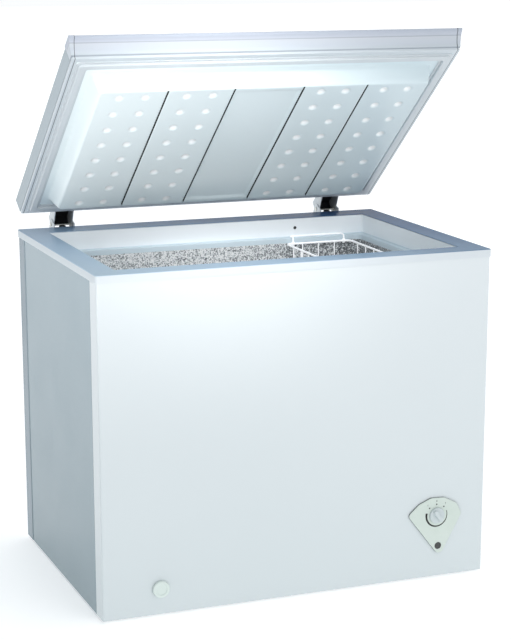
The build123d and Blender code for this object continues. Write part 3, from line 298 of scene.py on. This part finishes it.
def banded(name, stops):
    """Moulded trim whose tone changes in bands with the height above the lid's foot: painted shade
    and painted highlight for the light on its ridges.
    """
    recipe = Recipe(name, 0.28, coat=0.1)
    rise = recipe.spread(recipe.along(lid_up, lid_foot), 0.0, lid_height)
    # Painted shade and painted highlight in bands with the height up the trim.
    bands = recipe.ramp(recipe.mix_factors(rise, recipe.noise(20.0, 2.0), 0.01), *stops)
    from_seam = recipe.distance(recipe.size(recipe.axis("X")), cap_seam)
    recipe.two_tone(recipe.spread(from_seam, 0.5 * MM, 0.9 * MM), (0.04, 0.05, 0.06), bands)
    recipe.bump(recipe.noise(700.0, 2.0), 0.00003, 0.25)
    return recipe.material


def hinge_metal(name):
    """Pale coated steel outside; the pocket between the two ears is painted black, as painted
    shade.
    """
    recipe = Recipe(name, 0.3, specular=0.4)
    half = recipe.distance(recipe.size(recipe.axis("X")), hinge_middle)
    # Painted shade: inside the pocket between the ears the colour is near black.
    outside = recipe.spread(half, pocket_half - 0.3 * MM, pocket_half + 0.3 * MM)
    cloud = recipe.noise(20.0, 2.0)
    shade = recipe.ramp(cloud, (0.3, (0.62, 0.66, 0.68)), (0.7, (0.72, 0.75, 0.77)))
    recipe.two_tone(outside, (0.02, 0.021, 0.023), shade)
    recipe.bump(recipe.noise(420.0, 1.0), 0.0001, 0.3)
    return recipe.material


def bezel_plastic(name):
    """Pale green moulding with fine grain, whose side wall behind the face is painted near black,
    as painted shade of the gap behind it.
    """
    recipe = Recipe(name, 0.42)
    # Painted shade: from just behind the face back to the panel, the side wall is near black.
    face = recipe.spread(recipe.axis("Y"), bezel_face + 1.6 * MM, bezel_face + 1.9 * MM, 1.0, 0.0)
    cloud = recipe.noise(14.0, 3.0)
    shade = recipe.ramp(cloud, (0.3, (0.62, 0.70, 0.64)), (0.7, (0.66, 0.73, 0.68)))
    recipe.two_tone(face, (0.008, 0.009, 0.01), shade)
    recipe.bump(recipe.noise(1500.0, 2.0), 0.00008, 0.25)
    return recipe.material


def lid_plastic(name):
    """Vacuum-formed sheet with painted light: paler to the left and in its dimples, painted shade
    deeper towards the hinges.
    """
    recipe = Recipe(name, 0.3, coat=0.12)
    # Painted light and shade: paler to the left and darker to the right, darker again towards the
    # hinges, with a little random tone.
    right = recipe.spread(recipe.axis("X"), -0.45, 0.45)
    rear = recipe.spread(recipe.along(lid_forward, pivot), 0.10, 0.24, 1.0, 0.0)
    painted_shading = recipe.mix_factors(right, recipe.noise(7.0, 3.0), 0.12)
    painted_shading = recipe.mix_factors(painted_shading, rear, 0.3)
    sheet = recipe.ramp(
        painted_shading,
        (0.0, (0.90, 0.97, 0.98)),
        (0.6, (0.66, 0.76, 0.80)),
        (1.0, (0.36, 0.45, 0.50)),
    )
    # Painted highlight in the dimples, read from a per-vertex attribute.
    dimple_highlight = recipe.node("ShaderNodeAttribute")
    dimple_highlight.attribute_name = "dimple_highlight"
    plain = recipe.spread(dimple_highlight.outputs["Fac"], 0.0, 1.0, 1.0, 0.0)
    recipe.two_tone(plain, (0.97, 0.985, 0.99), sheet)
    recipe.vary_roughness(recipe.noise(40.0, 3.0), 0.28, 0.34)
    recipe.bump(recipe.noise(500.0, 2.0), 0.00004, 0.25)
    return recipe.material


def collar_plastic(name):
    """White band inside the mouth, with painted shade in a deeper tone on the ledge at its foot."""
    recipe = Recipe(name, 0.34)
    # Painted shade: the ledge at the wall's foot takes a deeper blue-grey tone.
    wall = recipe.spread(recipe.axis("Z"), ledge_top + 0.2 * MM, ledge_top + 2.5 * MM)
    cloud = recipe.noise(9.0, 2.0)
    shade = recipe.ramp(cloud, (0.3, (0.90, 0.94, 0.97)), (0.7, (0.92, 0.96, 0.99)))
    recipe.two_tone(wall, (0.60, 0.70, 0.76), shade)
    recipe.vary_roughness(recipe.noise(20.0, 2.0), 0.32, 0.37)
    recipe.bump(recipe.noise(500.0, 2.0), 0.000006, 0.2)
    return recipe.material


def stucco(name):
    """Bright aluminium sheet rolled with a pebbled pattern, with painted shade making it darker
    towards the step.
    """
    recipe = Recipe(name, 0.4, metallic=0.35)
    speck = recipe.mix_factors(recipe.noise(300.0, 2.0, rough=0.7), recipe.noise(90.0, 1.0), 0.2)
    # Painted shade: the pebbled tone darkens towards the step on the right.
    shade_towards_step = recipe.spread(recipe.axis("X"), 0.08, 0.40, 0.5, 0.24)
    speck = recipe.mix_factors(speck, shade_towards_step, 0.25)
    recipe.colours(
        speck,
        (0.42, (0.17, 0.18, 0.19)),
        (0.49, (0.72, 0.75, 0.77)),
        (0.55, (1.0, 1.0, 1.0)),
    )
    recipe.vary_roughness(recipe.noise(150.0, 2.0), 0.25, 0.45)
    recipe.bump(recipe.cells(260.0, 0.4), 0.0009, 0.7)
    return recipe.material


def metal(name, colour, roughness):
    """Bare or plated metal with drawn lines."""
    recipe = Recipe(name, roughness, metallic=1.0)
    recipe.colours(recipe.noise(25.0, 4.0), (0.3, tint(colour, 0.8)), (0.7, colour))
    lines = recipe.noise(300.0, 2.0, drawn_lines)
    recipe.vary_roughness(lines, roughness * 0.75, roughness * 1.3)
    recipe.bump(lines, 0.00005, 0.5)
    return recipe.material


def spangle(name):
    """Galvanised sheet with its crystal pattern."""
    recipe = Recipe(name, 0.45, metallic=0.9)
    recipe.colours(recipe.cells(60.0, 0.1), (0.1, (0.42, 0.43, 0.45)), (0.8, (0.66, 0.67, 0.69)))
    recipe.vary_roughness(recipe.noise(70.0, 2.0), 0.35, 0.55)
    recipe.bump(recipe.noise(500.0, 2.0), 0.00004, 0.4)
    return recipe.material


def foam(name):
    """Rigid yellow foam with open pores."""
    recipe = Recipe(name, 0.85)
    recipe.colours(recipe.noise(80.0, 4.0), (0.3, (0.72, 0.58, 0.30)), (0.7, (0.86, 0.74, 0.46)))
    recipe.bump(recipe.cells(500.0, 0.2), 0.0006, 0.8)
    return recipe.material


def soft_black(name, roughness, colour=(0.018, 0.018, 0.02)):
    """Dark rubber, paint or plastic with a fine uneven skin."""
    recipe = Recipe(name, roughness)
    recipe.colours(recipe.noise(30.0, 3.0), (0.3, colour), (0.7, tint(colour, 1.6)))
    recipe.vary_roughness(recipe.noise(90.0, 2.0), roughness * 0.85, min(1.0, roughness * 1.15))
    recipe.bump(recipe.noise(700.0, 2.0), 0.0001, 0.5)
    return recipe.material


front_white = (0.75, 0.79, 0.81)
# Bands of painted shade and painted highlight up the lid trim, for the light on its ridges; the
# darkest stops are painted shade lines.
trim_shade_bands = (
    (0.0, (0.60, 0.65, 0.69)),
    (0.13, (0.62, 0.67, 0.71)),
    (0.15, (0.34, 0.38, 0.43)),
    (0.19, (0.36, 0.40, 0.45)),
    (0.21, (0.54, 0.59, 0.63)),
    (0.40, (0.52, 0.56, 0.62)),
    (0.66, (0.54, 0.57, 0.62)),
    (0.69, (0.34, 0.37, 0.42)),
    (0.72, (0.50, 0.53, 0.60)),
    (0.93, (0.42, 0.46, 0.54)),
    (1.0, (0.64, 0.66, 0.70)),
)
LOOKS = {
    "front": enamel("front_enamel", front_white, low=(0.66, 0.715, 0.73)),
    # The side panels' grey-blue enamel is painted shade on white paint, darker again towards the
    # floor.
    "side": enamel("side_enamel_painted_shade", (0.30, 0.39, 0.44), low=(0.20, 0.28, 0.315)),
    # The back's side returns and the lid panel's flanks take painted shade in their deeper tones.
    "back": sided("back_enamel", (0.66, 0.71, 0.745), (0.17, 0.24, 0.29), cabinet_half - 2 * MM),
    "lid_sheet": sided("lid_enamel", (0.70, 0.74, 0.77), (0.37, 0.43, 0.47), lid_half - 6 * MM),
    "rim": rim_plastic("rim_plastic"),
    "collar": collar_plastic("collar_plastic"),
    "trim": banded("trim_plastic", trim_shade_bands),
    "lid_liner": lid_plastic("lid_liner_plastic"),
    # Near-black painted shade for the faces in the lid liner's grooves.
    "groove": moulded("groove_shade", (0.010, 0.013, 0.016), 0.6),
    "gasket": moulded("gasket_vinyl", (0.62, 0.66, 0.69), 0.45, grain=600.0),
    "stucco": stucco("stucco_aluminium"),
    "bezel": bezel_plastic("bezel_plastic"),
    "knob": moulded("knob_plastic", (0.62, 0.68, 0.69), 0.32),
    "cap": moulded("cap_plastic", (0.72, 0.80, 0.76), 0.35),
    "lamp": moulded("lamp_window", (0.012, 0.016, 0.014), 0.12, coat=0.8),
    "mark": moulded("printed_ink", (0.006, 0.006, 0.007), 0.5, grain=2500.0),
    "hinge": hinge_metal("hinge_coating"),
    "zinc": metal("zinc_plating", (0.68, 0.67, 0.63), 0.3),
    "spring": metal("spring_steel", (0.22, 0.22, 0.23), 0.4),
    "tube_steel": metal("dark_steel", (0.16, 0.16, 0.17), 0.5),
    "tube_aluminium": metal("tube_aluminium", (0.62, 0.62, 0.63), 0.4),
    "copper": metal("copper", (0.80, 0.40, 0.24), 0.35),
    "galvanised": spangle("galvanised_sheet"),
    "foam": foam("rigid_foam"),
    "black_rubber": soft_black("black_rubber", 0.75),
    "black_paint": soft_black("black_paint", 0.35, (0.012, 0.012, 0.013)),
    "black_plastic": soft_black("black_plastic", 0.5),
    "wire": moulded("wire_coating", (0.97, 0.98, 1.0), 0.3, coat=0.3, grain=1200.0),
}

# Emission on the wire coating is painted light: a faint glow keeps the thin wires white though they
# are no lamp.
wire_shader = LOOKS["wire"].node_tree.nodes["Principled BSDF"]
wire_shader.inputs["Emission Color"].default_value = (1, 1, 1, 1)
wire_shader.inputs["Emission Strength"].default_value = 0.22

NODE_LOOKS = {
    "front": ["front_panel"],
    "side": ["left_side_panel", "right_side_panel"],
    "back": ["rear_panel"],
    "lid_sheet": ["lid_top_panel"],
    "rim": ["top_frame"],
    "collar": ["liner_collar"],
    "trim": ["lid_front_trim", "lid_corner_caps", "lid_lower_frame"],
    "lid_liner": ["lid_inner_panel"],
    "gasket": ["lid_gasket"],
    "stucco": ["inner_liner"],
    "bezel": ["control_bezel"],
    "knob": ["control_knob"],
    "cap": ["drain_cap", "drain_outlet", "floor_drain_plug", "drain_tube", "thermostat"],
    "lamp": ["power_lamp"],
    "hinge": [
        "hinge_left_channel",
        "hinge_right_channel",
        "hinge_left_bracket",
        "hinge_right_bracket",
    ],
    "zinc": [
        "hinge_rivets",
        "hinge_followers",
        "hinge_channel_screws",
        "hinge_lid_screws",
        "grille_screws",
        "compressor_bolts",
        "thermostat_shaft",
    ],
    "spring": ["hinge_left_spring", "hinge_right_spring"],
    "tube_steel": ["condenser_tube"],
    "tube_aluminium": ["evaporator_tube"],
    "copper": [
        "suction_tube",
        "discharge_tube",
        "filter_drier",
        "capillary_tube",
        "thermostat_sensor",
    ],
    "galvanised": ["base_panel", "compressor_tray", "compartment_shroud"],
    "foam": ["cabinet_foam", "lid_foam"],
    "black_rubber": ["compressor_grommets", "cord_gland", "collar_plug"],
    "black_paint": ["compressor", "compressor_bracket"],
    "black_plastic": [
        "feet",
        "relay_cover",
        "wiring_harness",
        "rear_grille",
        "hinge_left_plunger",
        "hinge_right_plunger",
    ],
    "wire": ["wire_basket", "basket_bail_front", "basket_bail_rear"],
}

for look, names in NODE_LOOKS.items():
    for name in names:
        mesh = nodes[name].data
        mesh.materials.clear()
        mesh.materials.append(LOOKS[look])


# ======== Mesh helpers ========


def piece(name, mesh, look, body, smooth=True):
    """Links a mesh as a piece that rides on a body."""
    mesh.materials.append(LOOKS[look])
    for face in mesh.polygons:
        face.use_smooth = smooth
    made = bpy.data.objects.new(name, mesh)
    bpy.context.scene.collection.objects.link(made)
    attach(made, body)
    return made


# ======== Lid liner: a formed sheet drawn as a height field ========
flange_half = 454.4 * MM
flange_inset = 12.1 * MM
grid_step = 2.6 * MM
lid_bottom = pivot.z + pivot_to_lid
lid_back = rear_face - 20 * MM
lid_front = lid_back - 636 * MM
sheet_wall = 2.4 * MM
plateau_depth = 44 * MM
face_half = 397 * MM
face_front = lid_back - 570 * MM
face_rear = lid_back - 86 * MM
slope_half = 413 * MM
slope_front = front_face + 56 * MM
slope_rear = rear_face - 75 * MM
corner_blend = 0.7
bay_half = 84 * MM
groove_lines = (bay_half, 242 * MM)
groove_half = 1.7 * MM
groove_depth = 8 * MM
groove_profile = (-1.15, -0.95, 0, 0.95, 1.15)
bay_depth = 5 * MM
bay_inset = 10 * MM
bay_bevel = 11 * MM
dimple_columns = [x * MM for x in (132, 194, 291, 352)]
dimple_rows = 8
dimple_pitch = 62.5 * MM
dimple_radius = 11.5 * MM
dimple_depth = 4.9 * MM
dimple_middle = (face_front + face_rear) / 2


def soft_step(t):
    """A smooth step from 0 to 1."""
    t = min(1.0, max(0.0, t))
    return t * t * (3 - 2 * t)


def rounded_ramp(t, corner=0.22):
    """A straight ramp from 0 to 1 whose two ends are rounded."""
    t = min(1.0, max(0.0, t))
    if t < corner:
        return t * t / (2 * corner) / (1 - corner)
    if t > 1 - corner:
        return 1 - (1 - t) ** 2 / (2 * corner) / (1 - corner)
    return (t - corner / 2) / (1 - corner)


def dimple_reach(x, y):
    """How far a place is from the middle of the nearest dimple, with 1 at the dimple's edge."""
    for column in dimple_columns:
        across = abs(abs(x) - column)
        if across < dimple_radius:
            row = round((y - dimple_middle) / dimple_pitch - 0.5) + 0.5
            if abs(row) <= (dimple_rows - 1) / 2:
                along = y - dimple_middle - row * dimple_pitch
                return math.hypot(across, along) / dimple_radius
    return 2.0


def liner_depth(x, y):
    """How far the formed sheet stands down from the lid's flange at a place."""
    side = (slope_half - abs(x)) / (slope_half - face_half)
    front = (y - slope_front) / (face_front - slope_front)
    rear = (slope_rear - y) / (slope_rear - face_rear)
    ends = sorted((side, front, rear))
    gap = max(0.0, corner_blend - (ends[1] - ends[0])) / corner_blend
    t = ends[0] - gap * gap * corner_blend / 4
    depth = plateau_depth * rounded_ramp(t)
    if t < 1:
        return depth
    for line in groove_lines:
        if abs(abs(x) - line) < groove_half and min(y - face_front, face_rear - y) > 1 * MM:
            depth -= groove_depth
    inside = min(bay_half - abs(x), y - face_front - bay_inset, face_rear - bay_inset - y)
    if inside > 0:
        depth -= bay_depth * soft_step(inside / bay_bevel)
    reach = dimple_reach(x, y)
    if reach < 1:
        depth -= dimple_depth * soft_step((1 - reach) * 1.5)
    return depth


def spaced(low, high, step):
    """Evenly spaced values from low to high, about a step apart."""
    count = max(1, round((high - low) / step))
    return [low + (high - low) * i / count for i in range(count + 1)]


def build_lid_liner():
    """The sheet as a grid, with extra columns at the four grooves and faces in them painted near
    black as painted shade.
    """
    xs = spaced(-flange_half, flange_half, grid_step)
    for line in groove_lines:
        for side in (-line, line):
            xs = [x for x in xs if abs(x - side) > 2 * groove_half]
            xs += [side + part * groove_half for part in groove_profile]
    xs.sort()
    ys = spaced(lid_front + flange_inset, lid_back - flange_inset, grid_step)
    verts = []
    for y in ys:
        for x in xs:
            verts.append(raise_lid @ Vector((x, y, lid_bottom - liner_depth(x, y))))
    wide = len(xs)
    faces = []
    for j in range(len(ys) - 1):
        for i in range(wide - 1):
            a = j * wide + i
            faces.append((a, a + wide, a + wide + 1, a + 1))
    mesh = bpy.data.meshes.new("lid_liner")
    mesh.from_pydata(verts, [], faces)
    made = piece("lid_liner_sheet", mesh, "lid_liner", "lid")
    mesh.materials.append(LOOKS["groove"])
    # Painted highlight: how deep each vertex lies in a dimple, for the dimples' paler colour.
    dimple_highlight = mesh.color_attributes.new("dimple_highlight", "FLOAT_COLOR", "POINT")
    for number, (x, y) in enumerate((x, y) for y in ys for x in xs):
        shade = soft_step((1 - dimple_reach(x, y)) * 2.2)
        dimple_highlight.data[number].color = (shade, shade, shade, 1)
    # Painted shade: the faces in the grooves take the near-black groove material.
    for number, face in enumerate(mesh.polygons):
        row, column = divmod(number, wide - 1)
        x = abs(xs[column] + xs[column + 1]) / 2
        in_line = any(abs(x - line) < 1.2 * groove_half for line in groove_lines)
        if in_line and face_front < ys[row] and ys[row + 1] < face_rear:
            face.material_index = 1
    solid = made.modifiers.new("sheet", "SOLIDIFY")
    solid.thickness = sheet_wall
    solid.offset = -1
    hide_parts("lid_inner_panel")


build_lid_liner()


# ======== Marks round the dial ========
knob_low, knob_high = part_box("control_knob")
dial_x = (knob_low.x + knob_high.x) / 2
dial_z = (knob_low.z + knob_high.z) / 2
ink_height = 0.12 * MM
arc_radius = 27 * MM
arc_start, arc_end = 165, 380
arc_thick, arc_thin = 5.4 * MM, 1.5 * MM
dot_angles = (135, 91, 47)
arc_steps = 60
dot_radius = 1.7 * MM
figure_size = 6.5 * MM
figure_radius = arc_radius + 8 * MM
figure_angles = {"1": 132, "4": 91, "7": 50}


def ink(name, outlines):
    """Printed marks: thin raised slabs whose outlines are given round the dial's centre."""
    work = bmesh.new()
    for outline in outlines:
        front, back = (
            [work.verts.new((dial_x + x, bezel_face + y, dial_z + z)) for x, z in outline]
            for y in (-ink_height, ink_height)
        )
        count = len(outline)
        work.faces.new(front)
        work.faces.new(back[::-1])
        for i in range(count):
            j = (i + 1) % count
            work.faces.new((front[j], front[i], back[i], back[j]))
    bmesh.ops.recalc_face_normals(work, faces=work.faces)
    mesh = bpy.data.meshes.new(name)
    work.to_mesh(mesh)
    work.free()
    piece(name, mesh, "mark", "cabinet", smooth=False)


def polar(radius, degrees):
    """A place round the dial, from its distance and angle."""
    return radius * math.cos(math.radians(degrees)), radius * math.sin(math.radians(degrees))


def tapered_arc():
    """The outline of the arc, which starts thick on the left and thins out round the bottom."""
    outer, inner = [], []
    for i in range(arc_steps + 1):
        share = i / arc_steps
        angle = arc_start + (arc_end - arc_start) * share
        half = (arc_thick + (arc_thin - arc_thick) * share ** 0.8) / 2
        outer.append(polar(arc_radius + half, angle))
        inner.append(polar(arc_radius - half, angle))
    return outer + inner[::-1]


def round_dot(angle):
    """The outline of one dot."""
    cx, cz = polar(arc_radius, angle)
    return [(cx + x, cz + z) for x, z in (polar(dot_radius, a) for a in range(0, 360, 20))]


def figure(name, text, x, z):
    """One small printed figure by the dial."""
    curve = bpy.data.curves.new(name, "FONT")
    curve.body = text
    curve.size = figure_size
    curve.align_x = "CENTER"
    curve.align_y = "CENTER"
    curve.extrude = ink_height
    holder = bpy.data.objects.new(name + "_text", curve)
    bpy.context.scene.collection.objects.link(holder)
    bpy.context.view_layer.update()
    mesh = bpy.data.meshes.new_from_object(holder)
    bpy.data.objects.remove(holder)
    mesh.materials.clear()
    stand_up = Matrix.Rotation(math.pi / 2, 4, "X")
    mesh.transform(Matrix.Translation((dial_x + x, bezel_face, dial_z + z)) @ stand_up)
    mesh.name = name
    piece(name, mesh, "mark", "cabinet", smooth=False)


ink("dial_arc", [tapered_arc()])
ink("dial_dots", [round_dot(angle) for angle in dot_angles])
for label, angle in figure_angles.items():
    x, z = polar(figure_radius, angle)
    figure("dial_figure_" + label, label, x, z)


# ======== Camera, light and floor ========
camera_turn = math.radians(-22.39)
camera_rise = math.radians(13.68)
camera_roll = math.radians(0.25)
camera_distance = 4.5232
camera_aim = Vector((0.1074, (front_face + rear_face) / 2, 0.4455))
camera_lens = 104.36
camera_shift = (-0.0527, 0.0862)


def build_camera():
    back = Vector(
        (
            math.sin(camera_turn) * math.cos(camera_rise),
            -math.cos(camera_turn) * math.cos(camera_rise),
            math.sin(camera_rise),
        )
    )
    data = bpy.data.cameras.new("camera")
    data.lens = camera_lens
    data.sensor_width = 36
    data.shift_x, data.shift_y = camera_shift
    data.dof.use_dof = False
    camera = bpy.data.objects.new("camera", data)
    bpy.context.scene.collection.objects.link(camera)
    camera.location = camera_aim + back * camera_distance
    camera.rotation_mode = "QUATERNION"
    facing = (-back).to_track_quat("-Z", "Y")
    camera.rotation_quaternion = facing @ Matrix.Rotation(camera_roll, 3, "Z").to_quaternion()
    bpy.context.scene.camera = camera


def hang_light(name, data, power, place, aim):
    """Links a light at a place and turns it to its aim."""
    data.energy = power
    light = bpy.data.objects.new(name, data)
    bpy.context.scene.collection.objects.link(light)
    light.location = place
    light.rotation_mode = "QUATERNION"
    light.rotation_quaternion = (Vector(aim) - Vector(place)).to_track_quat("-Z", "Y")


def soft_light(name, place, aim, size, power):
    data = bpy.data.lights.new(name, "AREA")
    data.shape = "RECTANGLE"
    data.size, data.size_y = size
    hang_light(name, data, power, place, aim)


def soft_spot(name, place, aim, width_degrees, power, radius):
    data = bpy.data.lights.new(name, "SPOT")
    data.spot_size = math.radians(width_degrees)
    data.spot_blend = 1.0
    data.shadow_soft_size = radius
    hang_light(name, data, power, place, aim)


floor_size = 60
floor_glow = 0.42
sky_white = (0.97, 0.99, 1.0)
left_flag = (0.17, 0.24, 0.29)
right_flag = (0.36, 0.44, 0.50)


def build_floor():
    bpy.ops.mesh.primitive_plane_add(size=floor_size, location=(0, 0, 0))
    floor = bpy.context.object
    floor.name = "floor"
    recipe = Recipe("floor_paint", 0.85, specular=0.2)
    recipe.colours(recipe.noise(1.5, 2.0), (0.3, (0.93, 0.93, 0.93)), (0.7, (0.95, 0.95, 0.95)))
    recipe.shader.inputs["Emission Color"].default_value = (1, 1, 1, 1)
    recipe.shader.inputs["Emission Strength"].default_value = floor_glow
    floor.data.materials.append(recipe.material)


def build_world():
    """White round the horizon and ahead; dimmer high up on the two sides, as between dark flags."""
    world = bpy.data.worlds.new("studio")
    bpy.context.scene.world = world
    world.use_nodes = True
    tree = world.node_tree
    background = tree.nodes["Background"]
    place = tree.nodes.new("ShaderNodeTexCoord")
    split = tree.nodes.new("ShaderNodeSeparateXYZ")
    tree.links.new(place.outputs["Generated"], split.inputs["Vector"])

    def smooth_range(letter, low, high):
        """0 to 1 between two directions along one axis, with soft ends."""
        span = tree.nodes.new("ShaderNodeMapRange")
        span.interpolation_type = "SMOOTHSTEP"
        span.inputs["From Min"].default_value = low
        span.inputs["From Max"].default_value = high
        tree.links.new(split.outputs[letter], span.inputs["Value"])
        return span.outputs["Result"]

    def blend(factor):
        """The two colour sockets and the result of a mix that follows a factor."""
        mix = tree.nodes.new("ShaderNodeMix")
        mix.data_type = "RGBA"
        tree.links.new(factor, mix.inputs["Factor"])
        return mix.inputs[mix_a], mix.inputs[mix_b], mix.outputs[mix_out]

    from_left, to_white, across = blend(smooth_range("X", -0.75, 0.05))
    from_left.default_value = (*left_flag, 1)
    to_white.default_value = (*sky_white, 1)
    from_white, to_right, sides = blend(smooth_range("X", 0.56, 0.9))
    tree.links.new(across, from_white)
    to_right.default_value = (*right_flag, 1)
    horizon, overhead, sky = blend(smooth_range("Z", 0.2, 0.42))
    horizon.default_value = (*sky_white, 1)
    tree.links.new(sides, overhead)
    tree.links.new(sky, background.inputs["Color"])


build_camera()
build_floor()
build_world()
soft_light("key", (0.4, -3.6, 2.6), (0, 0, 0.9), (1.4, 1.0), 6)
soft_spot("well", (-0.55, -1.35, 2.15), (0.02, 0.16, 0.70), 24, 150, 0.25)
soft_spot("under_lid", (-1.5, -2.7, 0.45), (-0.08, 0.10, 1.09), 19, 115, 0.25)
bpy.context.scene.view_settings.view_transform = "Standard"
